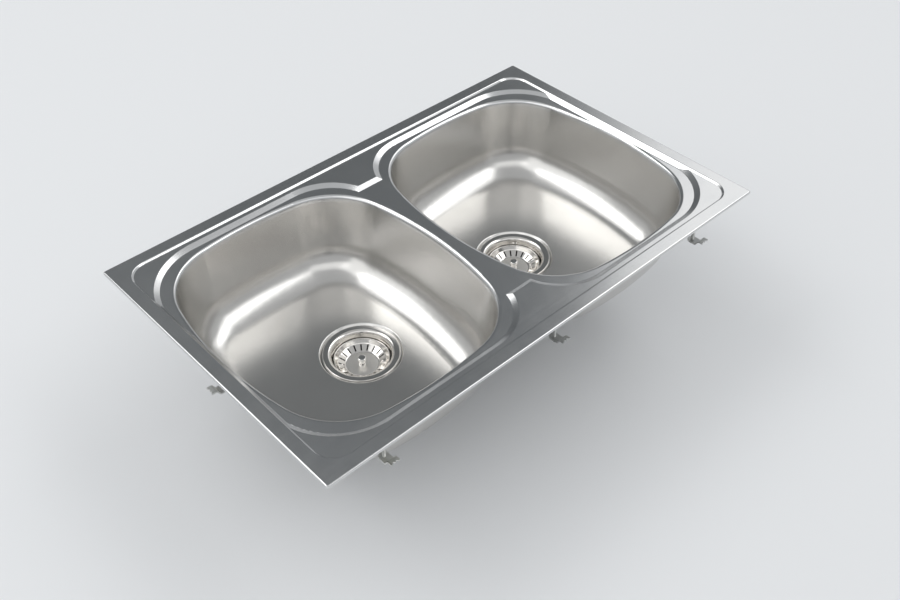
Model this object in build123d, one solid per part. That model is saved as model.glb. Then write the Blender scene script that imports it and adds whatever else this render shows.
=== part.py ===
from build123d import *
from math import atan, cos, degrees, radians, sqrt, tan
import os

# Inset double bowl kitchen sink, 800 x 500 mm, pressed from thin stainless sheet.
# Millimetres. +X runs along the long side, +Y to the back, +Z up.
# The origin is the centre of the worktop cut-out, at the height of the worktop's top face.

# --- sheet and overall size -------------------------------------------------------------
SINK_LENGTH = 800.0          # along X
SINK_WIDTH = 500.0           # along Y
SHEET = 0.8                  # stainless sheet of the deck and the bowls
RIM_HEIGHT = 4.0             # the border's top stands this far above the worktop
RIM_CORNER = 4.0             # plan radius of the outer corners
RIM_EDGE = 2.0               # rounding over the outer edge

# --- pressed steps of the deck ----------------------------------------------------------
BORDER_WIDTH = 20.0          # flat border round the whole sink
BORDER_CORNER = 32.0         # plan radius of the border's inner corners
STEP_ANGLE = 45.0            # slope of the border's step, from the vertical
PLATEAU_DROP = 2.5           # from the border to the corner and centre plateaus
RING_DROP = 4.0              # from the plateaus to the ring round the bowls
RING_STEP = 8.0              # plan width of the step from plateau to ring
RING_BACK = 29.0             # from the rim to the ring's upper edge, front and back
RING_SIDE = 17.0             # the same at the short sides, where the border's step cuts it off
RING_OUTER_CORNER = 104.0    # plan radius of the ring's outer corners
RING_INNER_CORNER = 88.0     # plan radius beside the divider
RING_GAP = 24.0              # between the two rings' upper edges
NECK_INSET = 86.0            # from the rim to the end of the divider's sunk neck
NECK_WIDTH = 80.0            # wide enough to meet both rings
EDGE_TOP = 2.0               # rounding along the border's inner edge
EDGE_STEP = 1.5              # rounding at the head and foot of the ring's step
FOOT_MARGIN = 0.5            # edges this near the foot of the border's step belong to it

# --- bowls ------------------------------------------------------------------------------
BOWL_SIDE = 29.0             # from the rim to a bowl, at the short sides
BOWL_FRONT = 44.0            # from the rim to the bowls, front and back
DIVIDER = 26.0               # between the two bowls, at the ring
BOWL_SIDE_ARC = 575.0        # the bowl's four sides bow out on this radius
BOWL_CORNER = 104.0
BOWL_DEPTH = 140.0           # from the border's top to the bowl's floor
BOWL_DRAFT = 6.0             # the walls lean by this angle
BOWL_BOTTOM = 52.0           # rounding between wall and floor
FLOOR_DISH = 3400.0          # the floor falls to the drain on this radius
FLOOR_RISE = 12.0            # the floor rises by less than this to its edges
SHOULDER = 6.0               # rounding from the ring into the bowl
COLLAR = 3.0                 # straight wall below the shoulder, down to the weld

# --- waste in each bowl -----------------------------------------------------------------
DRAIN_INSET = 144.0          # from a bowl's edge at the divider to the middle of its drain
FLANGE_RADIUS = 56.5         # the usual 113 mm flange
FLANGE_LAND = 6.5            # flat width of the flange
FLANGE_OVERLAP = 10.0        # the flange covers the edge of the hole in the sheet by this much
FLANGE_HEM = 1.2             # the flange's edge turns down by this much
HEM_BEND = 0.6
RECESS_GAP = 4.5             # round the flange, in the bowl's recess
RECESS_DEPTH = 3.0
RECESS_EDGE = 1.5
GASKET_INSET = 1.5           # from the flange's edge to the gaskets' edge
GASKET_GAP = 0.5             # between a gasket's bore and the part inside it
UPPER_GASKET = 1.5
LOWER_GASKET = 3.0
CUP_SHEET = 0.8
CUP_MOUTH_ROUND = 6.0
CUP_TAPER = 11.0             # slope of the cup's wall
CUP_DEPTH = 38.0
CUP_BOTTOM_ROUND = 8.0
CUP_HOLE_COUNT = 6
CUP_HOLE = 4.5               # radius of the drain holes in the cup's floor
CUP_HOLE_CIRCLE = 16.5
SCREW_RADIUS = 3.0
SCREW_CLEARANCE = 0.25       # in the cup's floor
SCREW_FIT = 0.05             # in the boss that it screws into
SCREW_HEAD = 6.5
SCREW_HEAD_HEIGHT = 2.4
SCREW_SLOT = 1.2
SCREW_LENGTH = 30.0

# --- plastic waste body below the bowl --------------------------------------------------
BODY_WALL = 3.0
BODY_LIP = 1.0               # the body's flange stands this far outside the gasket
BODY_FLANGE_HEIGHT = 4.0
BODY_GAP = 1.5               # between the hole in the bowl and the chamber's wall
BODY_ROOM = 11.0             # height of the chamber below the cup's floor
BODY_CONE = 20.0             # height of the funnel
TAIL_RADIUS = 23.9           # outside of the threaded tail
TAIL_WALL = 3.0
TAIL_LENGTH = 26.0
SPIDER_ARMS = 3
SPIDER_ARM = 4.0
SPIDER_HEIGHT = 14.0
BOSS_RADIUS = 8.0
BODY_RIBS = 12
RIB_WIDTH = 2.5
RIB_DEPTH = 2.5
RIB_TOE = 0.1                # thickness left at the foot of a rib's slope

# --- basket -----------------------------------------------------------------------------
BASKET_SHEET = 0.7
BASKET_GAP = 1.4             # between the basket's rim and the cup's wall
BASKET_RIM_DROP = 11.0       # the rim lies this far below the flange
BASKET_ROLL = 0.9            # radius of the rolled rim
BASKET_LEAN = 5.4            # the wall comes in by this much, down to the turn
BASKET_WALL_DROP = 6.5       # height of the wall above that turn
BASKET_SLOPE = 11.0          # plan width of the slope from the turn to the flat floor
BASKET_DEPTH = 12.5          # from the rim to the floor
BASKET_BEND = 5.0
SLOT_COUNT = 20
SLOT_WIDTH = 2.2
SLOT_MARGIN = 1.0            # from the slots to the turn and to the flat floor
KNOB_HEIGHT = 13.0           # the post stands this far above the basket's floor
KNOB_HEAD = 6.2
KNOB_HEAD_HEIGHT = 3.6
KNOB_HEAD_ROUND = 1.6
KNOB_NECK = 4.2
KNOB_SHOULDER = 1.8          # height of the slopes from the neck to the head and to the foot
KNOB_FOOT = 5.4
KNOB_FOOT_HEIGHT = 1.4
KNOB_ROUND = 0.6             # at the other turnings
STEM_RADIUS = 3.5
STEM_HOLE_CLEARANCE = 0.3    # in the basket's floor
STEM_FIT = 0.05              # in the stopper's hub
STEM_BED = 0.8               # rubber left below the end of the stem
STOPPER_RADIUS = 25.0
STOPPER_THICKNESS = 4.0
STOPPER_BEVEL = 1.0
STOPPER_HUB = 9.0
STOPPER_HUB_HEIGHT = 4.5
STOPPER_RECESS = 9.5         # leaves room for the screw's head
STOPPER_RECESS_DEPTH = 3.0

# --- seal and clamps under the rim ------------------------------------------------------
SEAL_GAP = 0.2               # from the rounding of the rim's edge
SEAL_WIDTH = 8.0
CUT_OUT_INSET = 11.0         # the worktop's cut-out starts this far inside the rim
WORKTOP = 38.0               # thickness of the worktop that the clamps are drawn on
CLAMP_CORNER = 100.0         # from the sink's corners to the outer clamps of the long sides
TAB_SHEET = 1.2
TAB_WIDTH = 22.0
TAB_STEP = 1.5               # from the border's step to the tab's upright
TAB_GAP = 0.5                # from the cut-out's edge to the tab
TAB_END = 5.0                # the tab's foot reaches this far past the screw
TAB_BEND = 1.5
TAB_FOOT_Z = -22.0           # underside of the tab's foot
CLAMP_SCREW = 2.5            # radius of an M5 screw
CLAMP_FIT = 0.06             # running clearance round the screw
CLAMP_SCREW_TOP = -15.0
CLAMP_HEAD = 4.2
CLAMP_HEAD_HEIGHT = 3.5
CLAMP_SLOT = 1.2
NUT_ACROSS = 8.0
NUT_HEIGHT = 4.0
NUT_CHAMFER = 0.8
NUT_GAP = 1.0                # between the nut and the tab's upright
CLAW_SHEET = 2.0
CLAW_WIDTH = 14.0
CLAW_DROP = 8.0              # the claw's root lies this far below the worktop
CLAW_TIP = 1.5               # from the rim to the claw's tip
CLAW_PAD = 7.0               # length of the flat pad that bears on the worktop
CLAW_SLOPE = 5.0             # plan length of the slope between pad and root
CLAW_BEND = 2.5
CLAW_NOTCHES = 2             # V notches that leave the claw's tip in teeth
CLAW_NOTCH_DEPTH = 2.5

# --- sound pads -------------------------------------------------------------------------
PAD_THICKNESS = 2.5
PAD_BOND = 0.1               # the glue between the bowl and the pad
PAD_CORNER = 12.0
PAD_MARGIN = 12.0            # from the back end of the floor to the pad
PAD_SIDE = 38.0              # the same from its sides, which clears its round corners
PAD_GAP = 10.0               # from the drain's recess to the pad

# --- levels and places worked out from the sizes above ----------------------------------
BOWL_LENGTH = (SINK_LENGTH - DIVIDER) / 2 - BOWL_SIDE
BOWL_WIDTH = SINK_WIDTH - 2 * BOWL_FRONT
BOWL_OFFSET = (DIVIDER + BOWL_LENGTH) / 2
NECK_LENGTH = SINK_WIDTH - 2 * NECK_INSET
PLATEAU_Z = RIM_HEIGHT - PLATEAU_DROP
RING_Z = PLATEAU_Z - RING_DROP
WELD_Z = RING_Z - SHOULDER - COLLAR
FLOOR_Z = RIM_HEIGHT - BOWL_DEPTH
RECESS_Z = FLOOR_Z - RECESS_DEPTH
FLANGE_Z = RECESS_Z + UPPER_GASKET + CUP_SHEET
CUP_FLOOR_Z = FLANGE_Z - CUP_DEPTH
FLOOR_EDGE = (RING_Z - FLOOR_Z) * tan(radians(BOWL_DRAFT)) + BOWL_BOTTOM * tan(
    radians((90 - BOWL_DRAFT) / 2))
BODY_Z = RECESS_Z - SHEET - LOWER_GASKET
BASKET_RIM_Z = FLANGE_Z - BASKET_RIM_DROP
BASKET_FLOOR_Z = BASKET_RIM_Z - BASKET_DEPTH
CLAMP_SEAT_Z = -WORKTOP - CLAW_DROP
DRAIN_X = DIVIDER / 2 + DRAIN_INSET
DRAIN_HOLE = FLANGE_RADIUS - FLANGE_OVERLAP
RECESS_RADIUS = FLANGE_RADIUS + RECESS_GAP
GASKET_OUTER = FLANGE_RADIUS - GASKET_INSET
FLANGE_FLAT = FLANGE_RADIUS - FLANGE_LAND
CUP_WALL_TOP = FLANGE_FLAT - CUP_MOUTH_ROUND * tan(radians((90 - CUP_TAPER) / 2))
BODY_FLANGE = GASKET_OUTER + BODY_LIP
BODY_INNER = DRAIN_HOLE + BODY_GAP
BASKET_RIM = (CUP_WALL_TOP - (BASKET_RIM_DROP - CUP_SHEET / 2) * tan(radians(CUP_TAPER))
              - CUP_SHEET / 2 / cos(radians(CUP_TAPER)) - BASKET_GAP)
BASKET_WAIST = BASKET_RIM - BASKET_LEAN
BASKET_DISC = BASKET_WAIST - BASKET_SLOPE
SLOT_INNER = BASKET_DISC + SLOT_MARGIN
SLOT_OUTER = BASKET_WAIST - SLOT_MARGIN
SEAL_INSET = RIM_EDGE + SEAL_GAP
TAB_INNER = BORDER_WIDTH - TAB_STEP
SCREW_INSET = TAB_INNER + NUT_GAP + NUT_ACROSS / 2
TAB_REACH = SCREW_INSET + TAB_END
LONG_SIDE_CLAMPS = (CLAMP_CORNER - SINK_LENGTH / 2, 0.0, SINK_LENGTH / 2 - CLAMP_CORNER)
SHORT_SIDE_CLAMPS = (0.0,)
SIDES = {"left": -1, "right": 1}


# --- helpers ----------------------------------------------------------------------------
def turned(outline):
    """A solid of revolution about Z from (radius, height) corners."""
    return revolve(Plane.XZ * make_face(Polyline(*outline, close=True)), Axis.Z)


def turned_sheet(line, radii, thickness):
    """A turned part of even wall, from the corners of its middle line and their bend radii."""
    profile = trace(FilletPolyline(*line, radius=radii), thickness)
    return revolve(Plane.XZ * profile, Axis.Z)


def ring(inner, outer, low, height):
    """A flat ring that stands on the height `low`."""
    return extrude(Pos(0, 0, low) * (Circle(outer) - Circle(inner)), amount=height)


def flat_edges(solid, height, reach_x, reach_y):
    """The edges that lie flat at a height, inside a rectangle round the origin."""
    def inside(edge):
        box = edge.bounding_box()
        flat = abs(box.min.Z - height) < 0.001 and abs(box.max.Z - height) < 0.001
        return (flat and max(abs(box.min.X), abs(box.max.X)) < reach_x
                and max(abs(box.min.Y), abs(box.max.Y)) < reach_y)
    return solid.edges().filter_by(inside)


# --- deck -------------------------------------------------------------------------------
def ring_outline():
    """Upper edge of the sunk ring round both bowls, with the divider's neck between them."""
    half_width = SINK_WIDTH / 2 - RING_BACK
    outer_x = SINK_LENGTH / 2 - RING_SIDE
    inner_x = RING_GAP / 2
    outline = Rectangle(NECK_WIDTH, NECK_LENGTH)
    for side in SIDES.values():
        middle = side * (outer_x + inner_x) / 2
        loop = Pos(middle, 0) * Rectangle(outer_x - inner_x, 2 * half_width)
        loop = fillet([v for v in loop.vertices() if abs(v.X) > abs(middle)], RING_OUTER_CORNER)
        near = [v for v in loop.vertices() if abs(v.X) < inner_x + 0.001]
        outline += fillet(near, RING_INNER_CORNER)
    return outline


def bowl_outline(growth=0.0):
    """A rounded rectangle with bowed sides, grown outwards by `growth`."""
    arc = BOWL_SIDE_ARC + growth
    in_x = arc - BOWL_LENGTH / 2 - growth
    in_y = arc - BOWL_WIDTH / 2 - growth
    outline = Pos(in_x, 0) * Circle(arc) & Pos(-in_x, 0) * Circle(arc)
    outline = outline & Pos(0, in_y) * Circle(arc) & Pos(0, -in_y) * Circle(arc)
    return fillet(outline.vertices(), BOWL_CORNER + growth)


def step_pocket():
    """The volume pressed out of the border: plateaus, ring and divider."""
    inner = Pos(0, 0, RIM_HEIGHT) * RectangleRounded(
        SINK_LENGTH - 2 * BORDER_WIDTH, SINK_WIDTH - 2 * BORDER_WIDTH, BORDER_CORNER)
    plateau = extrude(inner, amount=-PLATEAU_DROP, taper=STEP_ANGLE)
    full = extrude(inner, amount=-(PLATEAU_DROP + RING_DROP), taper=STEP_ANGLE)
    upper = Pos(0, 0, PLATEAU_Z) * ring_outline()
    slope = degrees(atan(RING_STEP / RING_DROP))
    sunk = extrude(upper, amount=-RING_DROP, taper=slope) + extrude(upper, amount=PLATEAU_DROP)
    return plateau + (sunk & full)


def pressed_block(inset, growth, bottom):
    """A block whose top is the deck's pressed surface, open where the bowls are."""
    block = extrude(
        Pos(0, 0, bottom) * RectangleRounded(
            SINK_LENGTH - 2 * inset, SINK_WIDTH - 2 * inset, RIM_CORNER - inset),
        amount=RIM_HEIGHT - bottom)
    block = fillet(block.edges().group_by(Axis.Z)[-1], RIM_EDGE - inset)
    block -= step_pocket()
    reach_x = SINK_LENGTH / 2 - BORDER_WIDTH + 0.001
    reach_y = SINK_WIDTH / 2 - BORDER_WIDTH + 0.001
    block = fillet(flat_edges(block, RIM_HEIGHT, reach_x, reach_y), EDGE_TOP)
    block = fillet(flat_edges(block, RING_Z, reach_x, reach_y), EDGE_STEP)
    foot = BORDER_WIDTH + PLATEAU_DROP * tan(radians(STEP_ANGLE)) + FOOT_MARGIN
    block = fillet(
        [e for e in flat_edges(block, PLATEAU_Z, reach_x, reach_y)
         if not on_border_foot(e, SINK_LENGTH / 2 - foot, SINK_WIDTH / 2 - foot)], EDGE_STEP)
    for side in SIDES.values():
        opening = Pos(side * BOWL_OFFSET, 0, RING_Z) * bowl_outline(growth)
        block -= extrude(opening, amount=-(RING_Z - bottom), taper=BOWL_DRAFT)
    brim = BOWL_OFFSET + BOWL_LENGTH / 2 + growth + 0.001
    shoulder = [e for e in flat_edges(block, RING_Z, brim, BOWL_WIDTH / 2 + growth + 0.001)]
    return fillet(shoulder, SHOULDER - growth)


def on_border_foot(edge, foot_x, foot_y):
    """True for an edge along the foot of the border's step, its corners included."""
    middle = edge.center()
    at_corner = abs(middle.X) + abs(middle.Y) > foot_x + foot_y - 2 * BORDER_CORNER
    return abs(middle.Y) > foot_y or abs(middle.X) > foot_x or (
        at_corner and edge.length < 2 * BORDER_CORNER)


def deck():
    """The pressed top sheet, with a lip turned down outside and a collar down to each bowl."""
    bottom = WELD_Z - SHEET
    sheet = pressed_block(0.0, 0.0, bottom) - Pos(0, 0, -SHEET) * pressed_block(
        SHEET, SHEET, bottom)
    between = 2 * CUT_OUT_INSET
    inner = Rectangle(SINK_LENGTH - between, SINK_WIDTH - between)
    outer = Rectangle(SINK_LENGTH + between, SINK_WIDTH + between)
    below_lip = extrude(Pos(0, 0, bottom - SHEET) * (outer - inner), amount=SHEET - bottom)
    below_weld = extrude(Pos(0, 0, bottom - SHEET) * inner, amount=WELD_Z - bottom + SHEET)
    return sheet - below_lip - below_weld


# --- bowls ------------------------------------------------------------------------------
def floor_dish(growth, extra=0.0):
    """A great ball whose underside is the dished floor, through the edge of the recess."""
    radius = FLOOR_DISH + growth
    rim = RECESS_RADIUS + growth
    height = FLOOR_Z - growth + sqrt(radius ** 2 - rim ** 2)
    return Pos(0, 0, height) * Rot(0, -90, 0) * Sphere(radius + extra)


def bowl_volume(growth, drain_x):
    """The inside of a bowl, or with `growth` its outside, with the recess round the drain."""
    mouth = Pos(0, 0, RING_Z - growth) * bowl_outline(growth)
    volume = extrude(mouth, amount=-(RING_Z - RECESS_Z), taper=BOWL_DRAFT)
    volume = volume & Pos(drain_x, 0) * floor_dish(growth)
    foot = [e for e in volume.edges() if e.bounding_box().max.Z < FLOOR_Z + FLOOR_RISE]
    volume = fillet(foot, BOWL_BOTTOM + growth)
    recess = Pos(drain_x, 0) * turned([
        (0, FLOOR_Z - growth + SHEET), (RECESS_RADIUS + growth, FLOOR_Z - growth + SHEET),
        (RECESS_RADIUS + growth, FLOOR_Z - growth),
        (RECESS_RADIUS + growth - RECESS_DEPTH, RECESS_Z - growth), (0, RECESS_Z - growth)])
    volume += recess
    lip = [e for e in flat_edges(volume, FLOOR_Z - growth, BOWL_LENGTH, BOWL_WIDTH)
           if e.geom_type == GeomType.CIRCLE and e.radius < RECESS_RADIUS + growth + 0.1]
    return fillet(lip, RECESS_EDGE)


def bowl(side):
    """One drawn bowl, open at the weld under the deck and at its drain."""
    drain_x = side * (DRAIN_X - BOWL_OFFSET)
    shell = bowl_volume(SHEET, drain_x) - bowl_volume(0.0, drain_x)
    shell -= Pos(drain_x, 0, RECESS_Z) * Cylinder(DRAIN_HOLE, 4 * SHEET)
    above = Pos(0, 0, WELD_Z) * Box(
        2 * BOWL_LENGTH, 2 * BOWL_WIDTH, 2 * SHOULDER + 2 * COLLAR,
        align=(Align.CENTER, Align.CENTER, Align.MIN))
    return Pos(side * BOWL_OFFSET, 0) * (shell - above)


def sound_pad(side):
    """The damping pad stuck under the bowl's floor, behind the drain."""
    front = RECESS_RADIUS + PAD_GAP
    back = BOWL_WIDTH / 2 - FLOOR_EDGE - PAD_MARGIN
    length = BOWL_LENGTH - 2 * (FLOOR_EDGE + PAD_SIDE)
    outline = Pos(0, (front + back) / 2, FLOOR_Z) * RectangleRounded(
        length, back - front, PAD_CORNER)
    drain = Pos(side * (DRAIN_X - BOWL_OFFSET), 0)
    pad = extrude(outline, amount=FLOOR_RISE, both=True)
    pad = pad & drain * floor_dish(SHEET, PAD_BOND + PAD_THICKNESS)
    return Pos(side * BOWL_OFFSET, 0) * (pad - drain * floor_dish(SHEET, PAD_BOND))


# --- strainer and waste, turned about Z at the drain's centre -----------------------------
def strainer_cup():
    """The pressed strainer body: flange, rounded mouth, tapered wall and pierced floor."""
    middle = FLANGE_Z - CUP_SHEET / 2
    floor = CUP_FLOOR_Z - CUP_SHEET / 2
    wall_foot = CUP_WALL_TOP - (middle - floor) * tan(radians(CUP_TAPER))
    hem = FLANGE_RADIUS - CUP_SHEET / 2
    cup = turned_sheet(
        [(hem, middle - FLANGE_HEM), (hem, middle), (CUP_WALL_TOP, middle),
         (wall_foot, floor), (0, floor)],
        [HEM_BEND, CUP_MOUTH_ROUND, CUP_BOTTOM_ROUND], CUP_SHEET)
    hole = Pos(0, 0, CUP_FLOOR_Z) * Cylinder(CUP_HOLE, 4 * CUP_SHEET)
    for place in PolarLocations(CUP_HOLE_CIRCLE, CUP_HOLE_COUNT):
        cup -= place * hole
    return cup - Pos(0, 0, CUP_FLOOR_Z) * Cylinder(
        SCREW_RADIUS + SCREW_CLEARANCE, 4 * CUP_SHEET)


def upper_gasket():
    """The flat rubber ring between the flange and the bowl's recess."""
    return ring(FLANGE_FLAT + GASKET_GAP, GASKET_OUTER, RECESS_Z, UPPER_GASKET)


def lower_gasket():
    """The thicker rubber ring between the bowl's underside and the waste body."""
    return ring(DRAIN_HOLE + GASKET_GAP, GASKET_OUTER, BODY_Z, LOWER_GASKET)


def waste_body():
    """The moulded waste body: flange, chamber, funnel, tail and the boss for the screw."""
    chamber = CUP_FLOOR_Z - CUP_SHEET - BODY_ROOM
    tail = chamber - BODY_CONE
    end = tail - TAIL_LENGTH
    outside = BODY_INNER + BODY_WALL
    shoulder = BODY_Z - BODY_FLANGE_HEIGHT
    skin = [(BODY_FLANGE, BODY_Z), (BODY_FLANGE, shoulder), (outside, shoulder),
            (outside, chamber), (TAIL_RADIUS, tail), (TAIL_RADIUS, end)]
    body = turned(skin + [
        (TAIL_RADIUS - TAIL_WALL, end), (TAIL_RADIUS - TAIL_WALL, tail + BODY_WALL),
        (BODY_INNER, chamber + BODY_WALL), (BODY_INNER, BODY_Z)])
    rib = Box(BODY_WALL + RIB_DEPTH, RIB_WIDTH, shoulder - chamber,
              align=(Align.MIN, Align.CENTER, Align.MIN))
    rib = chamfer(rib.edges().filter_by(Axis.Y).sort_by(SortBy.DISTANCE)[-1:], RIB_DEPTH - RIB_TOE)
    for place in PolarLocations(0, BODY_RIBS):
        body += place * Pos(BODY_INNER, 0, chamber) * rib
    boss_top = CUP_FLOOR_Z - CUP_SHEET
    hub = Pos(0, 0, boss_top) * Cylinder(
        BOSS_RADIUS, SCREW_LENGTH, align=(Align.CENTER, Align.CENTER, Align.MAX))
    arm = Pos(0, 0, boss_top - 2 * BODY_WALL) * Box(
        outside, SPIDER_ARM, SPIDER_HEIGHT, align=(Align.MIN, Align.CENTER, Align.MAX))
    inside = turned([(0, BODY_Z)] + skin + [(0, end)])
    for place in PolarLocations(0, SPIDER_ARMS):
        body += place * arm & inside
    body += hub
    return body - Pos(0, 0, boss_top) * Cylinder(
        SCREW_RADIUS + SCREW_FIT, 2 * (SCREW_LENGTH - BODY_WALL))


def waste_screw():
    """The slotted screw that pulls the cup and the waste body together."""
    screw = Pos(0, 0, CUP_FLOOR_Z) * Cylinder(
        SCREW_RADIUS, SCREW_LENGTH - 2 * BODY_WALL, align=(Align.CENTER, Align.CENTER, Align.MAX))
    head = Pos(0, 0, CUP_FLOOR_Z) * Cylinder(
        SCREW_HEAD, SCREW_HEAD_HEIGHT, align=(Align.CENTER, Align.CENTER, Align.MIN))
    head = fillet(head.edges().group_by(Axis.Z)[-1], SCREW_HEAD_HEIGHT / 2)
    slot = Pos(0, 0, CUP_FLOOR_Z + SCREW_HEAD_HEIGHT) * Box(
        3 * SCREW_HEAD, SCREW_SLOT, SCREW_HEAD_HEIGHT)
    return screw + head - slot


def basket():
    """The lift-out basket: rolled rim, tapered wall, slots round the turn and a flat floor."""
    half = BASKET_SHEET / 2
    floor = BASKET_FLOOR_Z - half
    shell = turned_sheet(
        [(BASKET_RIM - BASKET_ROLL, BASKET_RIM_Z - BASKET_ROLL),
         (BASKET_WAIST, BASKET_RIM_Z - BASKET_WALL_DROP), (BASKET_DISC, floor), (0, floor)],
        [BASKET_BEND, BASKET_BEND], BASKET_SHEET)
    roll = Pos(0, 0, BASKET_RIM_Z - BASKET_ROLL) * Torus(BASKET_RIM - BASKET_ROLL, BASKET_ROLL)
    shell += roll
    slot = Pos((SLOT_INNER + SLOT_OUTER) / 2, 0, BASKET_FLOOR_Z) * (
        extrude(SlotOverall(SLOT_OUTER - SLOT_INNER, SLOT_WIDTH), amount=BASKET_DEPTH, both=True))
    for place in PolarLocations(0, SLOT_COUNT):
        shell -= place * slot
    return shell - Pos(0, 0, BASKET_FLOOR_Z) * Cylinder(
        STEM_RADIUS + STEM_HOLE_CLEARANCE, 4 * BASKET_SHEET)


def basket_knob():
    """The turned post in the basket, with the stem that carries the stopper."""
    top = BASKET_FLOOR_Z + KNOB_HEIGHT
    head = top - KNOB_HEAD_HEIGHT
    foot = BASKET_FLOOR_Z + KNOB_FOOT_HEIGHT
    stem_end = CUP_FLOOR_Z + STOPPER_RECESS_DEPTH + STEM_BED
    outline = make_face(Polyline(
        (0, top), (KNOB_HEAD, top), (KNOB_HEAD, head), (KNOB_NECK, head - KNOB_SHOULDER),
        (KNOB_NECK, foot + KNOB_SHOULDER), (KNOB_FOOT, foot), (KNOB_FOOT, BASKET_FLOOR_Z),
        (STEM_RADIUS, BASKET_FLOOR_Z), (STEM_RADIUS, stem_end), (0, stem_end), close=True))
    outline = fillet(outline.vertices().group_by(Axis.Y)[-1].sort_by(Axis.X)[-1:], KNOB_HEAD_ROUND)
    turnings = [v for v in outline.vertices() if foot - 0.01 < v.Y < head + 0.01]
    return revolve(Plane.XZ * fillet(turnings, KNOB_ROUND), Axis.Z)


def basket_stopper():
    """The rubber stopper that the basket presses on the cup's floor."""
    hub_top = CUP_FLOOR_Z + STOPPER_THICKNESS + STOPPER_HUB_HEIGHT
    recess = CUP_FLOOR_Z + STOPPER_RECESS_DEPTH
    bore = STEM_RADIUS + STEM_FIT
    stem_end = CUP_FLOOR_Z + STOPPER_RECESS_DEPTH + STEM_BED
    return turned([
        (STOPPER_RECESS, CUP_FLOOR_Z), (STOPPER_RADIUS, CUP_FLOOR_Z),
        (STOPPER_RADIUS - STOPPER_BEVEL, CUP_FLOOR_Z + STOPPER_THICKNESS),
        (STOPPER_HUB, CUP_FLOOR_Z + STOPPER_THICKNESS), (STOPPER_HUB, hub_top),
        (bore, hub_top), (bore, stem_end), (0, stem_end), (0, recess), (STOPPER_RECESS, recess)])


# --- seal and clamps ----------------------------------------------------------------------
def rim_seal():
    """The foam strip between the rim and the worktop."""
    def loop(inset):
        return RectangleRounded(
            SINK_LENGTH - 2 * inset, SINK_WIDTH - 2 * inset, max(RIM_CORNER - inset, 1.0))
    strip = loop(SEAL_INSET) - loop(SEAL_INSET + SEAL_WIDTH)
    return extrude(strip, amount=RIM_HEIGHT - SHEET)


def clamp_places():
    """Where each clamp sits: the rim's edge is local X = 0 and +X points inwards."""
    half_l, half_w = SINK_LENGTH / 2, SINK_WIDTH / 2
    places = [Pos(x, half_w) * Rot(0, 0, -90) for x in LONG_SIDE_CLAMPS]
    places += [Pos(half_l, y) * Rot(0, 0, 180) for y in reversed(SHORT_SIDE_CLAMPS)]
    places += [Pos(x, -half_w) * Rot(0, 0, 90) for x in reversed(LONG_SIDE_CLAMPS)]
    places += [Pos(-half_l, y) for y in SHORT_SIDE_CLAMPS]
    return places


def strip(points, width, thickness, bend):
    """A bent strip: its middle line in the local XZ plane, swept to its width along Y."""
    profile = trace(FilletPolyline(*points, radius=bend), thickness)
    return extrude(Plane.XZ * profile, amount=width / 2, both=True)


def clamp_tab():
    """The folded tab welded under the border, whose foot carries the nut."""
    half = TAB_SHEET / 2
    top = RIM_HEIGHT - SHEET - half
    foot = TAB_FOOT_Z + half
    tab = strip([(CUT_OUT_INSET + TAB_GAP, top), (TAB_INNER - half, top), (TAB_INNER - half, foot),
                 (TAB_REACH, foot)], TAB_WIDTH, TAB_SHEET, TAB_BEND)
    return tab - Pos(SCREW_INSET, 0, foot) * Cylinder(CLAMP_SCREW + CLAMP_FIT, 4 * TAB_SHEET)


def clamp_nut():
    """The square nut under the tab's foot."""
    nut = Pos(SCREW_INSET, 0, TAB_FOOT_Z) * Box(
        NUT_ACROSS, NUT_ACROSS, NUT_HEIGHT, align=(Align.CENTER, Align.CENTER, Align.MAX))
    nut = chamfer(nut.edges().filter_by(Axis.Z), NUT_CHAMFER)
    return nut - Pos(SCREW_INSET, 0, TAB_FOOT_Z) * Cylinder(
        CLAMP_SCREW + CLAMP_FIT, 3 * NUT_HEIGHT)


def clamp_screw():
    """The long screw, with its slotted head below the claw."""
    seat = CLAMP_SEAT_Z - CLAW_SHEET
    shank = Pos(SCREW_INSET, 0, seat) * Cylinder(
        CLAMP_SCREW, CLAMP_SCREW_TOP - seat, align=(Align.CENTER, Align.CENTER, Align.MIN))
    head = Pos(SCREW_INSET, 0, seat) * Cylinder(
        CLAMP_HEAD, CLAMP_HEAD_HEIGHT, align=(Align.CENTER, Align.CENTER, Align.MAX))
    slot = Pos(SCREW_INSET, 0, seat - CLAMP_HEAD_HEIGHT) * Box(
        3 * CLAMP_HEAD, CLAMP_SLOT, CLAMP_HEAD_HEIGHT)
    return shank + head - slot


def clamp_claw():
    """The bent claw that swings under the worktop and bears on it with its pad."""
    half = CLAW_SHEET / 2
    low = CLAMP_SEAT_Z - half
    high = -WORKTOP - half
    tail = CLAW_WIDTH / 2
    claw = strip([(CLAW_TIP, high), (CLAW_TIP + CLAW_PAD, high),
                  (CLAW_TIP + CLAW_PAD + CLAW_SLOPE, low), (SCREW_INSET + tail, low)],
                 CLAW_WIDTH, CLAW_SHEET, CLAW_BEND)
    plan = Pos((CLAW_TIP + SCREW_INSET) / 2, 0) * Rectangle(SCREW_INSET - CLAW_TIP, CLAW_WIDTH)
    plan += Pos(SCREW_INSET, 0) * Circle(tail)
    pitch = CLAW_WIDTH / (CLAW_NOTCHES + 1)
    notch = Pos(CLAW_TIP, 0) * make_face(Polyline(
        (0, -pitch / 2), (0, pitch / 2), (CLAW_NOTCH_DEPTH, 0), close=True))
    for place in GridLocations(0, pitch, 1, CLAW_NOTCHES):
        plan -= place * notch
    claw &= extrude(Pos(0, 0, low - CLAW_SHEET) * plan, amount=CLAW_DROP + 2 * CLAW_SHEET)
    return claw - Pos(SCREW_INSET, 0, low) * Cylinder(CLAMP_SCREW + CLAMP_FIT, 4 * CLAW_SHEET)


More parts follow.
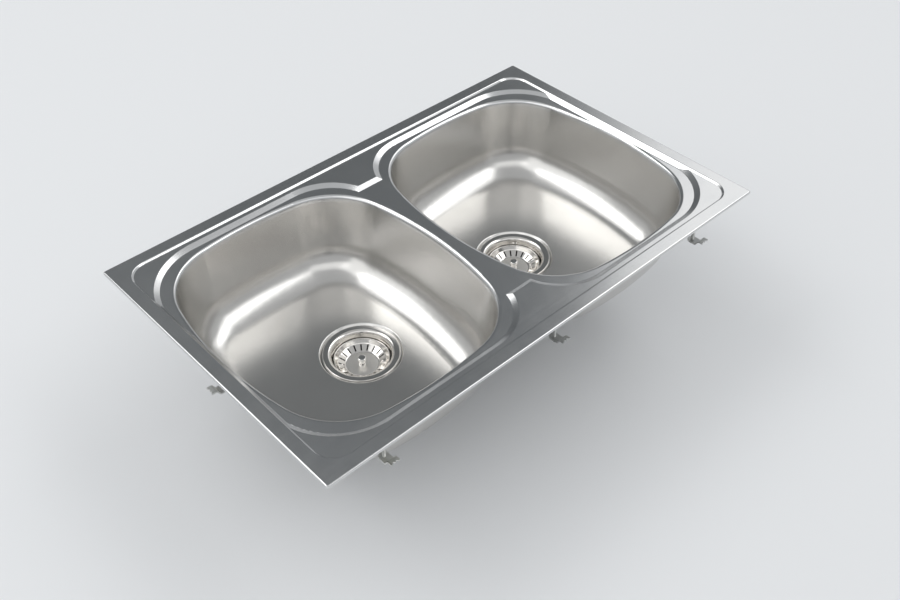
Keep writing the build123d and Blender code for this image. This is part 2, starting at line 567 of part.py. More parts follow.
# --- the whole sink -----------------------------------------------------------------------
def all_parts():
    """Every node's name and shape."""
    parts = {"deck": deck(), "rim_seal": rim_seal()}
    turned_parts = {
        "strainer_cup": strainer_cup, "upper_gasket": upper_gasket, "lower_gasket": lower_gasket,
        "waste_body": waste_body, "waste_screw": waste_screw, "basket": basket,
        "basket_knob": basket_knob, "basket_stopper": basket_stopper}
    shapes = {name: make() for name, make in turned_parts.items()}
    for name, side in SIDES.items():
        parts[f"{name}_bowl"] = bowl(side)
        parts[f"{name}_sound_pad"] = sound_pad(side)
        for piece, shape in shapes.items():
            parts[f"{name}_{piece}"] = Pos(side * DRAIN_X, 0) * shape
    places = clamp_places()
    parts["clamp_tabs"] = Compound(children=[place * clamp_tab() for place in places])
    parts["clamp_nuts"] = Compound(children=[place * clamp_nut() for place in places])
    for number, place in enumerate(places, 1):
        parts[f"clamp_{number}_screw"] = place * clamp_screw()
        parts[f"clamp_{number}_claw"] = place * clamp_claw()
    return parts


os.makedirs("parts", exist_ok=True)
for node, shape in all_parts().items():
    export_step(shape, f"parts/{node}.step")
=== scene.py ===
# %% [markdown]
# # Double bowl kitchen sink
#
# This file dresses a finished model of a pressed stainless steel sink. The solid shapes come
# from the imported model, and this script gives them their finishes, the small shapes that solids
# leave out, the light and the camera. All sizes are in metres.

import math

import bpy
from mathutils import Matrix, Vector


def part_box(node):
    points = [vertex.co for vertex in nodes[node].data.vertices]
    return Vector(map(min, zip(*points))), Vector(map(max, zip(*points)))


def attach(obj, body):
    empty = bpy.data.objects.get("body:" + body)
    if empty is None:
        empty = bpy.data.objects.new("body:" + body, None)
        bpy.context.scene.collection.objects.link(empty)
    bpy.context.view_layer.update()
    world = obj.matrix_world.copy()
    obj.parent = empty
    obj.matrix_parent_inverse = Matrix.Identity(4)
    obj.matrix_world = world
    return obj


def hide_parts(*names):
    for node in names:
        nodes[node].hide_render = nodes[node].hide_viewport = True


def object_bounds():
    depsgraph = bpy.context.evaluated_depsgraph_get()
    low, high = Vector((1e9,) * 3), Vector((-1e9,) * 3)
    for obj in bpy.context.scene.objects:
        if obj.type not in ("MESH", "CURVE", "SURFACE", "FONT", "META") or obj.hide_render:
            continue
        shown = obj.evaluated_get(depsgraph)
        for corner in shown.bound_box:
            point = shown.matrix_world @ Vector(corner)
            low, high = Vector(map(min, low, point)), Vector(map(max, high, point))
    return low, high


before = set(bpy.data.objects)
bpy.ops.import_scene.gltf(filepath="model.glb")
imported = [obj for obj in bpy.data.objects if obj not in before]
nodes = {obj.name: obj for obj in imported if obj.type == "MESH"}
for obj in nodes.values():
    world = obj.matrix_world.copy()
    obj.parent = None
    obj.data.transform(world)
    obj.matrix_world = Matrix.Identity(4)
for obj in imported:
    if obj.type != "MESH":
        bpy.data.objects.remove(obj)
cad_box = [list(corner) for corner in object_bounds()]
print("nodes:", len(nodes))

MM = 0.001  # the sizes below are written in millimetres
print("box in mm:", [[round(v / MM, 1) for v in corner] for corner in cad_box])

# %% [markdown]
# ## Camera
#
# The sink is seen from the front left and from well above, so that both bowls lie open. The
# camera could be aimed by a constraint at the middle of the deck. Three plain angles are easier
# to read, and nothing else can change them. A lens of 42 mm keeps a little perspective.

# %% Place the camera
CAMERA_PLACE = (-0.7887, -0.8799, 0.9625)
CAMERA_TURN = (47.16, 0.33, -42.81)  # degrees about X, Y and Z
camera_data = bpy.data.cameras.new("camera")
camera_data.lens = 42.43
camera = bpy.data.objects.new("camera", camera_data)
bpy.context.scene.collection.objects.link(camera)
camera.location = CAMERA_PLACE
camera.rotation_euler = [math.radians(angle) for angle in CAMERA_TURN]
bpy.context.scene.camera = camera
print("camera lens:", round(camera_data.lens, 2), "mm")

# %% [markdown]
# ## Nodes for the finishes
#
# A finish could be a picture wrapped round the piece, but a picture has seams and one fixed
# size. Here each finish is made of shader nodes instead. They read Object coordinates, which are
# metres on the sink itself, so a noise has the same grain on every piece. The helpers below add
# a node, a noise, a range, a mix of two colours and a bump.


# %% Helpers that add a node and a noise
def add_node(tree, kind, **values):
    """Adds a shader node and sets its properties and its inputs by name."""
    node = tree.nodes.new(kind)
    for name, value in values.items():
        if hasattr(node, name):
            setattr(node, name, value)
        else:
            node.inputs[name.replace("_", " ")].default_value = value
    return node


def noise(tree, cells, detail=3.0):
    """Adds a noise over Object coordinates, with so many cells in a metre along X, Y and Z."""
    place = add_node(tree, "ShaderNodeTexCoord")
    mapping = add_node(tree, "ShaderNodeMapping", Scale=cells)
    texture = add_node(tree, "ShaderNodeTexNoise", Scale=1.0, Detail=detail, Roughness=0.55)
    tree.links.new(place.outputs["Object"], mapping.inputs["Vector"])
    tree.links.new(mapping.outputs["Vector"], texture.inputs["Vector"])
    return texture.outputs["Fac"]


# %% Helpers that spread a value, mix colours and bend the shading
def spread(tree, value, low, high, start=0.3, end=0.7):
    """Maps a value between start and end to one between low and high."""
    node = add_node(tree, "ShaderNodeMapRange")
    tree.links.new(value, node.inputs["Value"])
    for name, number in zip(("From Min", "From Max", "To Min", "To Max"), (start, end, low, high)):
        node.inputs[name].default_value = number
    return node.outputs["Result"]


def blend_colours(tree, value, first, second):
    """Mixes two colours by a value from 0 to 1."""
    node = add_node(tree, "ShaderNodeMix", data_type="RGBA")
    tree.links.new(value, node.inputs["Factor"])
    for socket in node.inputs:
        if socket.type == "RGBA":
            socket.default_value = (*(first if socket.name == "A" else second), 1)
    return [socket for socket in node.outputs if socket.type == "RGBA"][0]


def add_bump(tree, shader, height, distance):
    """Bends the shading by a height texture. The distance is how deep it is, in metres."""
    node = add_node(tree, "ShaderNodeBump", Strength=1.0, Distance=distance)
    tree.links.new(height, node.inputs["Height"])
    tree.links.new(node.outputs["Normal"], shader.inputs["Normal"])


# %% Helper that starts a finish
def new_finish(name, metallic=0.0, specular=0.5):
    """Makes a material and returns it with its node tree and its main shader."""
    material = bpy.data.materials.new(name)
    material.use_nodes = True
    tree = material.node_tree
    shader = tree.nodes["Principled BSDF"]
    shader.inputs["Metallic"].default_value = metallic
    shader.inputs["Specular IOR Level"].default_value = specular
    return material, tree, shader


# %% [markdown]
# ## Stainless steel
#
# The deck keeps the fine lines of the rolled sheet, the bowls have the softer, even face that
# deep drawing leaves, and the strainers and their posts are polished. They could be three
# unlike materials, but it is one metal, so one recipe makes them all with other numbers. A
# cloudy noise moves the tint and the roughness a little, and a finer one is the grain: it is
# stretched along X for the deck's lines and the same in all directions elsewhere.


# %% The recipe for steel
TINT_CELLS, WIPE_CELLS = 9, 40  # clouds of tint and of wiping in a metre
GRAIN_SHEEN = 0.015  # how much the grain changes the roughness


def steel(name, dark, light, smooth, rough, grain, depth):
    """Makes a steel from two tints, its least and most roughness and its grain's size and depth."""
    material, tree, shader = new_finish(name, metallic=1.0)
    tint = spread(tree, noise(tree, (TINT_CELLS,) * 3), 0.0, 1.0)
    tree.links.new(blend_colours(tree, tint, dark, light), shader.inputs["Base Color"])
    lines = noise(tree, grain, detail=2.0)
    clouds = spread(tree, noise(tree, (WIPE_CELLS,) * 3), smooth, rough, 0.2, 0.8)
    wiped = add_node(tree, "ShaderNodeMath", operation="ADD")
    tree.links.new(clouds, wiped.inputs[0])
    tree.links.new(spread(tree, lines, -GRAIN_SHEEN, GRAIN_SHEEN, 0.2, 0.8), wiped.inputs[1])
    tree.links.new(wiped.outputs["Value"], shader.inputs["Roughness"])
    add_bump(tree, shader, lines, depth * MM)
    return material


# %% Make the steel finishes
deck_steel = steel(
    "deck_steel",
    dark=(0.70, 0.705, 0.71),
    light=(0.76, 0.76, 0.755),
    smooth=0.18,
    rough=0.22,
    grain=(5, 320, 320),
    depth=0.001,
)
bowl_steel = steel(
    "bowl_steel",
    dark=(0.65, 0.64, 0.62),
    light=(0.70, 0.69, 0.67),
    smooth=0.23,
    rough=0.25,
    grain=(700, 700, 700),
    depth=0.0006,
)
POLISHED = {
    "dark": (0.70, 0.68, 0.65),
    "light": (0.76, 0.74, 0.71),
    "smooth": 0.08,
    "rough": 0.12,
    "grain": (240, 240, 240),
    "depth": 0.002,
}
strainer_steel = steel("strainer_steel", **POLISHED)
knob_chrome = steel(
    "knob_chrome",
    dark=(0.74, 0.73, 0.71),
    light=(0.78, 0.77, 0.75),
    smooth=0.05,
    rough=0.08,
    grain=(300, 300, 300),
    depth=0.001,
)
print("steels:", deck_steel.name, bowl_steel.name, strainer_steel.name, knob_chrome.name)

# %% [markdown]
# ## The basket's floor
#
# The basket is polished like its cup, but the flat disc in its floor has a satin face, which
# looks lighter because it gathers light from all round. The disc could be a separate piece or
# have a material slot of its own, but both would divide the mesh. Here one finish does both: the
# distance from the axis of the drain chooses the roughness.


# %% Helper that measures from the drain
def from_drain(tree, drain_x):
    """The distance from the nearer drain's axis. The two drains stand at drain_x and -drain_x."""
    place = add_node(tree, "ShaderNodeTexCoord")
    parts = add_node(tree, "ShaderNodeSeparateXYZ")
    tree.links.new(place.outputs["Object"], parts.inputs["Vector"])
    outwards = add_node(tree, "ShaderNodeMath", operation="ABSOLUTE")
    tree.links.new(parts.outputs["X"], outwards.inputs[0])
    beside = add_node(tree, "ShaderNodeMath", operation="SUBTRACT")
    tree.links.new(outwards.outputs["Value"], beside.inputs[0])
    beside.inputs[1].default_value = drain_x
    flat = add_node(tree, "ShaderNodeCombineXYZ")
    tree.links.new(beside.outputs["Value"], flat.inputs["X"])
    tree.links.new(parts.outputs["Y"], flat.inputs["Y"])
    reach = add_node(tree, "ShaderNodeVectorMath", operation="LENGTH")
    tree.links.new(flat.outputs["Vector"], reach.inputs[0])
    return reach.outputs["Value"]


# %% Make the basket's finish
DRAIN_X, DISC_RADIUS, DISC_EDGE = 157 * MM, 24 * MM, 0.5 * MM
DISC_ROUGHNESS = 0.34
basket_steel = steel("basket_steel", **POLISHED)
basket_tree = basket_steel.node_tree
basket_shader = basket_tree.nodes["Principled BSDF"]
polished_value = basket_shader.inputs["Roughness"].links[0].from_socket
reach = from_drain(basket_tree, DRAIN_X)
on_disc = spread(basket_tree, reach, 1.0, 0.0, DISC_RADIUS - DISC_EDGE, DISC_RADIUS)
choice = add_node(basket_tree, "ShaderNodeMix", data_type="FLOAT")
basket_tree.links.new(on_disc, choice.inputs["Factor"])
basket_tree.links.new(polished_value, choice.inputs["A"])
choice.inputs["B"].default_value = DISC_ROUGHNESS
basket_tree.links.new(choice.outputs["Result"], basket_shader.inputs["Roughness"])
print("basket finish:", len(basket_tree.nodes), "shader nodes")

# %% [markdown]
# ## Zinc plated clamps
#
# The clamps are plain steel with a thin coat of zinc, which is greyer and duller than stainless
# steel and clouds over in patches. A separate recipe could draw the coat's crystals, but they
# are too fine to see here, so the recipe for steel serves, with wider ranges and a fine grain.

# %% Make the zinc finish
clamp_zinc = steel(
    "clamp_zinc",
    dark=(0.50, 0.51, 0.51),
    light=(0.68, 0.68, 0.64),
    smooth=0.28,
    rough=0.42,
    grain=(1100, 1100, 1100),
    depth=0.01,
)
print("zinc:", clamp_zinc.name)

# %% [markdown]
# ## Rubber, plastic, foam and damping pads
#
# These don't conduct, so they have no metallic value. Rubber is matt, moulded plastic has a fine
# even grain with a soft shine, foam shows its cells, and the pad has a coarse skin. Foam could
# be modelled cell by cell, but it is only a thin line under the rim. One recipe makes all four,
# and the size and depth of the grain tell them apart.


# %% The recipe for rubber, plastic and foam
SOFT_TINT_CELLS, SOFT_CLOUD_CELLS = 30, 160  # clouds of tint and of roughness in a metre


def moulded(name, dark, light, smooth, rough, grain, depth, specular=0.4):
    """Makes a rubber, plastic or foam from two tints, its roughness and its grain."""
    material, tree, shader = new_finish(name, specular=specular)
    tint = spread(tree, noise(tree, (SOFT_TINT_CELLS,) * 3), 0.0, 1.0)
    tree.links.new(blend_colours(tree, tint, dark, light), shader.inputs["Base Color"])
    clouds = spread(tree, noise(tree, (SOFT_CLOUD_CELLS,) * 3), smooth, rough)
    tree.links.new(clouds, shader.inputs["Roughness"])
    add_bump(tree, shader, noise(tree, (grain,) * 3, detail=2.0), depth * MM)
    return material


# %% Make the rubber, plastic and foam finishes
gasket_rubber = moulded(
    "gasket_rubber",
    dark=(0.020, 0.020, 0.021),
    light=(0.034, 0.033, 0.032),
    smooth=0.48,
    rough=0.62,
    grain=1500,
    depth=0.03,
)
waste_plastic = moulded(
    "waste_plastic",
    dark=(0.70, 0.71, 0.71),
    light=(0.76, 0.76, 0.75),
    smooth=0.34,
    rough=0.46,
    grain=1800,
    depth=0.02,
)
seal_foam = moulded(
    "seal_foam",
    dark=(0.10, 0.10, 0.105),
    light=(0.15, 0.15, 0.15),
    smooth=0.75,
    rough=0.92,
    grain=900,
    depth=0.18,
    specular=0.2,
)
damping_pad = moulded(
    "damping_pad",
    dark=(0.045, 0.045, 0.047),
    light=(0.075, 0.074, 0.072),
    smooth=0.62,
    rough=0.8,
    grain=420,
    depth=0.25,
    specular=0.3,
)
print("soft:", gasket_rubber.name, waste_plastic.name, seal_foam.name, damping_pad.name)

# %% [markdown]
# ## Dress the solid pieces
#
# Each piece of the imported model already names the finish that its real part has. The pieces
# could be dressed one by one, but a loop over those names can't miss any. Assigning to the
# material slot keeps a piece's mesh as it is and only changes how it looks. The two baskets then
# get the finish that was made for them.

# %% Give every piece its finish
finishes = {
    "deck_steel": deck_steel,
    "bowl_steel": bowl_steel,
    "strainer_steel": strainer_steel,
    "knob_chrome": knob_chrome,
    "clamp_zinc": clamp_zinc,
    "gasket_rubber": gasket_rubber,
    "waste_plastic": waste_plastic,
    "seal_foam": seal_foam,
    "damping_pad": damping_pad,
}
for piece in nodes.values():
    slot = piece.material_slots[0]
    slot.material = finishes[slot.material.name.split(".")[0]]
for side in ("left", "right"):
    nodes[f"{side}_basket"].material_slots[0].material = basket_steel
print("dressed:", len(nodes), "pieces with", len(finishes) + 1, "finishes")

# %% [markdown]
# ## Helpers for modelling
#
# The new shapes below are made with the same tools as by hand: a primitive is added, its faces
# or points are picked by their place, and an operator shapes them. Operators act on whatever is
# selected, so each helper first selects just what it needs.


# %% Helpers that select and edit
def select_only(thing):
    """Makes this the only selected object, and the active one."""
    bpy.ops.object.select_all(action="DESELECT")
    thing.select_set(True)
    bpy.context.view_layer.objects.active = thing


def edit(thing, wanted=lambda place: True):
    """Enters edit mode with the points selected that pass the test."""
    select_only(thing)
    bpy.ops.object.mode_set(mode="EDIT")
    bpy.ops.mesh.select_mode(type="VERT")
    bpy.ops.mesh.select_all(action="DESELECT")
    bpy.ops.object.mode_set(mode="OBJECT")
    for vertex in thing.data.vertices:
        vertex.select = wanted(vertex.co)
    bpy.ops.object.mode_set(mode="EDIT")


def leave(thing):
    """Leaves edit mode and returns the object."""
    bpy.ops.object.mode_set(mode="OBJECT")
    return thing


# %% Helpers that merge and cut
MERGE = 0.001 * MM  # points nearer than this are one point


def merge(thing, distance=MERGE):
    """Makes one point of points that are nearer than this."""
    edit(thing)
    bpy.ops.mesh.remove_doubles(threshold=distance)
    return leave(thing)


def cut_level(thing, height, keep_above):
    """Cuts the mesh flat at this height, keeps one side and closes the cut."""
    edit(thing)
    bpy.ops.mesh.bisect(
        plane_co=(0, 0, height),
        plane_no=(0, 0, 1),
        clear_inner=keep_above,
        clear_outer=not keep_above,
        use_fill=True,
    )
    return leave(thing)


# %% [markdown]
# ## Threads
#
# The solid model has plain cylinders where the real pieces are threaded. A thread could be a
# bump of lines, but its outline would stay smooth. It could also be a ridge joined to a core,
# but such a join leaves slivers. Here the outline of one tooth, open on the inside and as high
# as the pitch, is swept along a helix by a Screw modifier. Each turn ends where the next begins,
# so once the doubles are merged they are one rod, which is then cut flat at both ends.


# %% Sweep a threaded rod along its helix
CREST_FLAT = 0.14  # how much of the pitch is flat on the crest
SPARE_TURNS = 1.5  # turns past each end, which the cuts remove


def threaded_rod(root, crest, pitch, low, high, steps):
    """A threaded rod round Z between two heights, whose turns meet in one closed surface."""
    start, middle = low - SPARE_TURNS * pitch, (crest + root) / 2
    bpy.ops.object.select_all(action="DESELECT")
    bpy.ops.mesh.primitive_plane_add(size=1)
    rod = bpy.context.object
    edit(rod)
    bpy.ops.mesh.delete(type="ONLY_FACE")
    bpy.ops.mesh.select_all(action="SELECT")
    bpy.ops.transform.rotate(value=math.radians(90), orient_axis="X", center_override=(0, 0, 0))
    bpy.ops.transform.resize(value=(crest - root, 1, pitch))
    bpy.ops.transform.translate(value=(middle, 0, start))
    leave(rod)
    edit(rod, lambda place: place.x < middle)
    bpy.ops.mesh.delete(type="EDGE")
    leave(rod)
    edit(rod, lambda place: place.x > middle)
    bpy.ops.transform.resize(value=(1, 1, CREST_FLAT), center_override=(0, 0, start))
    leave(rod)
    sweep = rod.modifiers.new("helix", "SCREW")
    sweep.axis, sweep.screw_offset = "Z", pitch
    sweep.iterations = math.ceil((high - low) / pitch) + int(2 * SPARE_TURNS)
    sweep.steps = sweep.render_steps = steps
    bpy.ops.object.modifier_apply(modifier=sweep.name)
    merge(rod)
    cut_level(rod, high, False)
    cut_level(rod, low, True)
    edit(rod)
    bpy.ops.mesh.normals_make_consistent(inside=False)
    return leave(rod)


# %% [markdown]
# ## Clamp screws
#
# Each clamp is drawn up by a screw of 5 mm with a slotted head, a bevelled tip and a thread of
# 0.8 mm. Eight screws could be modelled one by one, but they are the same, so one pattern is
# made at the origin: the threaded rod is trimmed by a bevelled cylinder, which gives the flat
# end its lead-in, and then a head with its slot is joined to it.


# %% Helpers for round shapes
NEAR = 0.1 * MM  # points within this distance of an end belong to it


def cylinder(radius, low, high, sides):
    """A cylinder round Z between two heights, with its place in the mesh."""
    bpy.ops.object.select_all(action="DESELECT")
    bpy.ops.mesh.primitive_cylinder_add(
        vertices=sides, radius=radius, depth=high - low, location=(0, 0, (high + low) / 2)
    )
    bpy.ops.object.transform_apply(location=True)
    return bpy.context.object


def bevel_end(thing, picked, width, segments):
    """Bevels the edges of the end whose points pass the test."""
    edit(thing, picked)
    bpy.ops.mesh.bevel(offset=width, segments=segments, affect="EDGES")
    return leave(thing)


# %% Helpers that join and measure
def combine(thing, other, operation):
    """Joins or cuts by a boolean, applies it and removes the other object."""
    select_only(thing)
    modifier = thing.modifiers.new("shape", "BOOLEAN")
    modifier.operation, modifier.object, modifier.solver = operation, other, "EXACT"
    bpy.ops.object.modifier_apply(modifier=modifier.name)
    bpy.data.objects.remove(other)
    return thing


def millimetres(thing):
    """The object's three dimensions, for printing."""
    return [round(v / MM, 2) for v in thing.dimensions]


# %% Make the shank of the clamp screw
OVERRUN = 1 * MM  # how far a cutter or a joint reaches past the shape
SCREW_CREST, SCREW_ROOT, SCREW_PITCH = 2.5 * MM, 2.05 * MM, 0.8 * MM
SCREW_TOP, SCREW_SEAT, HEAD_FOOT = -15 * MM, -48 * MM, -51.5 * MM
SCREW_SIDES, TIP_BEVEL = 48, 0.7 * MM
TRIM_ROOM = 0.02 * MM  # a trimming cylinder is this much wider than the crest
shank = threaded_rod(
    SCREW_ROOT,
    SCREW_CREST,
    SCREW_PITCH,
    SCREW_SEAT - OVERRUN,
    SCREW_TOP + OVERRUN,
    SCREW_SIDES // 2,
)
tip = cylinder(SCREW_CREST + TRIM_ROOM, SCREW_SEAT - 2 * OVERRUN, SCREW_TOP, SCREW_SIDES)
bevel_end(tip, lambda place: place.z > SCREW_TOP - NEAR, TIP_BEVEL, 1)
combine(shank, tip, "INTERSECT")
print("shank:", len(shank.data.polygons), "faces", millimetres(shank), "mm")

# %% Make the head of the clamp screw and join it to the shank
HEAD_RADIUS, HEAD_BEVEL = 4.2 * MM, 0.5 * MM
SLOT_WIDE, SLOT_DEEP = 1.2 * MM, 1.75 * MM
SLIVER = 0.04 * MM  # the joins leave slivers narrower than this
SMOOTH_ANGLE = math.radians(32)  # edges sharper than this stay sharp
head = cylinder(HEAD_RADIUS, HEAD_FOOT, SCREW_SEAT, SCREW_SIDES)
bevel_end(head, lambda place: place.z < HEAD_FOOT + NEAR, HEAD_BEVEL, 3)
bpy.ops.object.select_all(action="DESELECT")
bpy.ops.mesh.primitive_cube_add(size=1)
slot_cutter = bpy.context.object
edit(slot_cutter)
bpy.ops.transform.resize(value=(3 * HEAD_RADIUS, SLOT_WIDE, 2 * SLOT_DEEP))
bpy.ops.transform.translate(value=(0, 0, HEAD_FOOT))
leave(slot_cutter)
combine(head, slot_cutter, "DIFFERENCE")
pattern = merge(combine(shank, head, "UNION"), SLIVER)
bpy.ops.object.shade_smooth_by_angle(angle=SMOOTH_ANGLE)
pattern.name = "screw_pattern"
print("clamp screw:", len(pattern.data.polygons), "faces", millimetres(pattern), "mm")

# %% [markdown]
# ## A screw for each clamp
#
# Each screw is a copy of the pattern with its own mesh. Copies could share one mesh and stand at
# different places, but a finished piece has its place in its mesh, as the solid pieces have. The
# slot lies square to the edge that the clamp stands under, so the screws at the front and back
# are turned a quarter. Each one rides on the body of the plain screw that it stands for.


# %% Helpers that copy and move
def own_copy(thing):
    """Copies an object with a mesh of its own."""
    select_only(thing)
    bpy.ops.object.duplicate()
    return bpy.context.object


def shift(thing, x, y):
    """Moves the mesh inside its object, which stays at the origin."""
    edit(thing)
    bpy.ops.transform.translate(value=(x, y, 0))
    return leave(thing)


# %% Put a threaded screw in each clamp
CLAMPS = 8
ON_AXIS = 1 * MM  # a clamp this near to the X axis stands at a short side
for number in range(1, CLAMPS + 1):
    node_name = f"clamp_{number}_screw"
    low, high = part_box(node_name)
    middle = (low + high) / 2
    screw = own_copy(pattern)
    screw.name = f"threaded_screw_{number}"
    turn = math.radians(0 if abs(middle.y) < ON_AXIS else 90)
    edit(screw)
    bpy.ops.transform.rotate(value=turn, orient_axis="Z", center_override=(0, 0, 0))
    leave(screw)
    shift(screw, middle.x, middle.y)
    screw.data.materials.append(clamp_zinc)
    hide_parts(node_name)
    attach(screw, node_name)
bpy.data.objects.remove(pattern)
print("threaded screws:", CLAMPS)

# %% [markdown]
# ## Threaded tails
#
# The trap screws onto the tail of each waste body with a coarse pipe thread. The whole body
# could be modelled again, but only its tail changes. So the body is a copy of the solid piece,
# cut off where the tail starts, and a new threaded tail is joined to it: a rod trimmed by a
# bevelled cylinder, with a plain neck above the thread and a bore through both.

# %% Make the pattern of the threaded tail
TAIL_CREST, TAIL_ROOT, TAIL_BORE, TAIL_PITCH = 23.9 * MM, 22.5 * MM, 20.9 * MM, 2.309 * MM
TAIL_TOP, TAIL_END, TAIL_SIDES = -206.5 * MM, -232.5 * MM, 144
TAIL_NECK, TAIL_BEVEL = 3 * MM, 0.8 * MM  # the plain stretch above the thread, and its lead-in
TAIL_BITE = 0.5 * MM  # how far the new tail reaches into the body
tail = threaded_rod(
    TAIL_ROOT, TAIL_CREST, TAIL_PITCH, TAIL_END - OVERRUN, TAIL_TOP - TAIL_NECK, TAIL_SIDES // 2
)
lead = cylinder(TAIL_CREST + TRIM_ROOM, TAIL_END, TAIL_TOP, TAIL_SIDES)
bevel_end(lead, lambda place: place.z < TAIL_END + NEAR, TAIL_BEVEL, 1)
combine(tail, lead, "INTERSECT")
neck = cylinder(TAIL_ROOT, TAIL_TOP - TAIL_NECK - OVERRUN, TAIL_TOP + TAIL_BITE, TAIL_SIDES)
combine(tail, neck, "UNION")
bore = cylinder(TAIL_BORE, TAIL_END - OVERRUN, TAIL_TOP + OVERRUN, TAIL_SIDES)
combine(tail, bore, "DIFFERENCE")
print("threaded tail:", len(tail.data.polygons), "faces", millimetres(tail), "mm")

# %% Give each waste body its threaded tail
for side in ("left", "right"):
    node_name = f"{side}_waste_body"
    low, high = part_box(node_name)
    body = own_copy(nodes[node_name])
    body.name = f"threaded_{node_name}"
    merge(body)
    cut_level(body, TAIL_TOP, True)
    own_tail = shift(own_copy(tail), (low.x + high.x) / 2, (low.y + high.y) / 2)
    combine(body, own_tail, "UNION")
    bpy.ops.object.shade_smooth_by_angle(angle=SMOOTH_ANGLE)
    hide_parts(node_name)
    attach(body, "sink")
    print(body.name, len(body.data.polygons), "faces", millimetres(body), "mm")
bpy.data.objects.remove(tail)

# %% [markdown]
# ## Weld beads
#
# Each bowl is welded to the collar that the deck is pressed down to. Seen from above the seam is
# ground flush, but outside a thin bead stays, tinted by the heat. Its path could be drawn by
# hand, but the bowl's own outline at that height is exact. So a copy of the bowl is cut there
# and all but the cut is dropped. The longer of the two lines is the outer one, and it is
# thickened into a bead.

# %% Make the heat-tinted finish
weld_steel = steel(
    "weld_steel",
    dark=(0.40, 0.36, 0.31),
    light=(0.56, 0.53, 0.49),
    smooth=0.30,
    rough=0.42,
    grain=(500, 500, 500),
    depth=0.01,
)
print("weld:", weld_steel.name)

# %% Lay a bead round the top of each bowl
WELD_LEVEL, BEAD_RADIUS, BEAD_ROUNDING = -11.6 * MM, 0.5 * MM, 2
for side in ("left", "right"):
    bead = merge(own_copy(nodes[f"{side}_bowl"]))
    bead.name = f"{side}_weld_bead"
    edit(bead)
    bpy.ops.mesh.bisect(
        plane_co=(0, 0, WELD_LEVEL), plane_no=(0, 0, 1), clear_inner=True, clear_outer=True
    )
    leave(bead)
    bpy.ops.object.convert(target="CURVE")
    lines = sorted(bead.data.splines, key=lambda line: line.calc_length())
    print(bead.name, "lines:", [round(line.calc_length() / MM) for line in lines], "mm")
    for line in lines[:-1]:
        bead.data.splines.remove(line)
    bead.data.bevel_depth = BEAD_RADIUS
    bead.data.bevel_resolution = BEAD_ROUNDING
    bpy.ops.object.convert(target="MESH")
    bpy.ops.object.shade_smooth()
    bead.data.materials.clear()
    bead.data.materials.append(weld_steel)
    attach(bead, "sink")
    print(bead.name, len(bead.data.polygons), "faces", millimetres(bead), "mm")

# %% [markdown]
# ## Sky
#
# One even, pale grey sky stands round the whole scene. It could show one tone to the camera and
# another to the steel, but then polished steel wouldn't show the background that it stands
# before. So the camera, the reflections and the soft light all get the same sky.

# %% Make the sky
SKY_TONE, SKY_LEVEL = (0.96, 0.98, 1.0, 1), 0.54
world = bpy.data.worlds.new("studio")
bpy.context.scene.world = world
world.use_nodes = True
sky = world.node_tree.nodes["Background"]
sky.inputs["Color"].default_value = SKY_TONE
sky.inputs["Strength"].default_value = SKY_LEVEL
print("sky level:", SKY_LEVEL)

# %% [markdown]
# ## Floor
#
# The floor is a plain pale sheet just below the lowest piece, and keeps the sink's shadow. A
# curved sweep up to the back could hide its far edge. Here the floor is wide and flat and turns
# into the tone of the sky further out, so no edge shows from any side.

# %% Lay the floor
FLOOR_DROP, FLOOR_SIZE = 0.5 * MM, 60
FLOOR_TONE = (0.80, 0.81, 0.82, 1)
FADE_START, FADE_END = 2.0, 5.0  # distances from the middle of the sink
floor_height = cad_box[0][2] - FLOOR_DROP
bpy.ops.object.select_all(action="DESELECT")
bpy.ops.mesh.primitive_plane_add(size=FLOOR_SIZE, location=(0, 0, floor_height))
floor = bpy.context.object
floor.name = "floor"
floor_paint, floor_tree, floor_shader = new_finish("floor_paint", specular=0.2)
floor_shader.inputs["Base Color"].default_value = FLOOR_TONE
floor_shader.inputs["Roughness"].default_value = 0.9
floor.data.materials.append(floor_paint)
print("floor at", round(floor_height / MM, 1), "mm")

# %% Fade the floor into the sky
away = add_node(floor_tree, "ShaderNodeTexCoord")
distance = add_node(floor_tree, "ShaderNodeVectorMath", operation="LENGTH")
floor_tree.links.new(away.outputs["Object"], distance.inputs[0])
far = spread(floor_tree, distance.outputs["Value"], 0.0, 1.0, FADE_START, FADE_END)
glow = add_node(floor_tree, "ShaderNodeEmission", Color=SKY_TONE, Strength=SKY_LEVEL)
fade = add_node(floor_tree, "ShaderNodeMixShader")
floor_tree.links.new(far, fade.inputs["Fac"])
floor_tree.links.new(floor_shader.outputs["BSDF"], fade.inputs[1])
floor_tree.links.new(glow.outputs["Emission"], fade.inputs[2])
floor_tree.links.new(fade.outputs["Shader"], floor_tree.nodes["Material Output"].inputs["Surface"])
print("floor fades from", FADE_START, "to", FADE_END, "m")

# %% [markdown]
# ## Light
#
# Polished steel looks like whatever stands round it, so the lights are large soft panels, and
# what counts is the direction and the size in which the steel sees them. Small lamps near the
# sink could be as bright, but they would leave hard spots. The panels hang far off and are
# written as directions and angles. The two bright ones, high at the right and at the back, draw
# the white bands at the foot of the bowls' walls. The weaker ones fill in from the right, the
# left and the front.


# %% Helpers that place a panel round the sink
PANEL_DISTANCE = 6.0  # far enough that every part of the sink sees a panel at the same angle


def on_sky(azimuth, elevation):
    """A point in this direction from the deck. Azimuth 0 is +X and 90 is +Y, in degrees."""
    a, e = math.radians(azimuth), math.radians(elevation)
    flat = PANEL_DISTANCE * math.cos(e)
    return Vector((flat * math.cos(a), flat * math.sin(a), PANEL_DISTANCE * math.sin(e)))


def turn_to_deck(thing, place):
    """Puts a lamp or a card at a place and turns its front to the middle of the deck."""
    thing.location = place
    thing.rotation_euler = (-place).to_track_quat("-Z", "Y").to_euler()


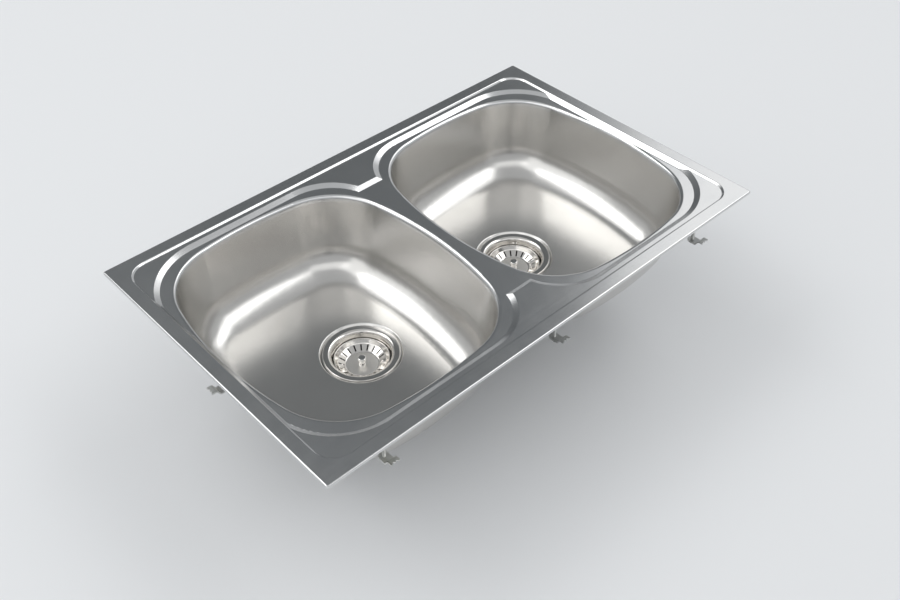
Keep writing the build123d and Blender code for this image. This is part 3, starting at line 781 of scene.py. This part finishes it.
def span(angle):
    """The length of a panel that covers this many degrees as seen from the deck."""
    return 2 * PANEL_DISTANCE * math.tan(math.radians(angle / 2))


def soft_panel(name, azimuth, elevation, wide, high, level):
    """Adds a rectangular light of this many degrees, with a brightness where white is 1."""
    lamp_data = bpy.data.lights.new(name, "AREA")
    lamp_data.shape = "RECTANGLE"
    lamp_data.size, lamp_data.size_y = span(wide), span(high)
    lamp_data.energy = level * math.pi * span(wide) * span(high)
    lamp = bpy.data.objects.new(name, lamp_data)
    bpy.context.scene.collection.objects.link(lamp)
    lamp.visible_camera = False
    turn_to_deck(lamp, on_sky(azimuth, elevation))
    return lamp


# %% Hang the lights
PANELS = (  # name, azimuth, elevation, width and height in degrees, brightness
    ("right_high_panel", 338, 52, 60, 20, 1.75),
    ("back_high_panel", 118, 50, 46, 24, 2.00),
    ("right_low_panel", 18, 36, 24, 18, 0.55),
    ("left_panel", 170, 40, 50, 50, 0.70),
    ("camera_panel", 240, 50, 60, 20, 0.60),
)
for panel in PANELS:
    lamp = soft_panel(*panel)
    print(lamp.name, "energy:", round(lamp.data.energy, 1), "W")

# %% [markdown]
# ## Dark card
#
# Steel that mirrors only pale things looks like white plastic. A photographer stands a dark card
# behind the object, so that its flat faces turn to slate and the bright edges stand out. The sky
# itself could be made darker, but that would dim everything. The card is a plain sheet that only
# reflections can see: it casts no shadow and doesn't dim the soft light.

# %% Stand the dark card behind
CARD_SPAN, CARD_AZIMUTH, CARD_ELEVATION = 54, 69, 33
CARD_TONE = (0.205, 0.215, 0.22, 1)
bpy.ops.object.select_all(action="DESELECT")
bpy.ops.mesh.primitive_plane_add(size=1, location=(0, 0, 0))
card = bpy.context.object
card.name = "dark_card"
card.scale = (span(CARD_SPAN), span(CARD_SPAN), 1)
turn_to_deck(card, on_sky(CARD_AZIMUTH, CARD_ELEVATION))
card_paint, _, card_shader = new_finish("card_paint", specular=0.0)
card_shader.inputs["Base Color"].default_value = CARD_TONE
card_shader.inputs["Roughness"].default_value = 1.0
card.data.materials.append(card_paint)
card.visible_camera = card.visible_shadow = card.visible_diffuse = False
print("card:", round(span(CARD_SPAN), 2), "m wide")

# %% [markdown]
# ## Finish
#
# The colours are shown as they are written, with the Standard view; a filmic view would be
# softer, but it would grey the pale steel.

# %% Set the view and finish
bpy.context.scene.view_settings.view_transform = "Standard"
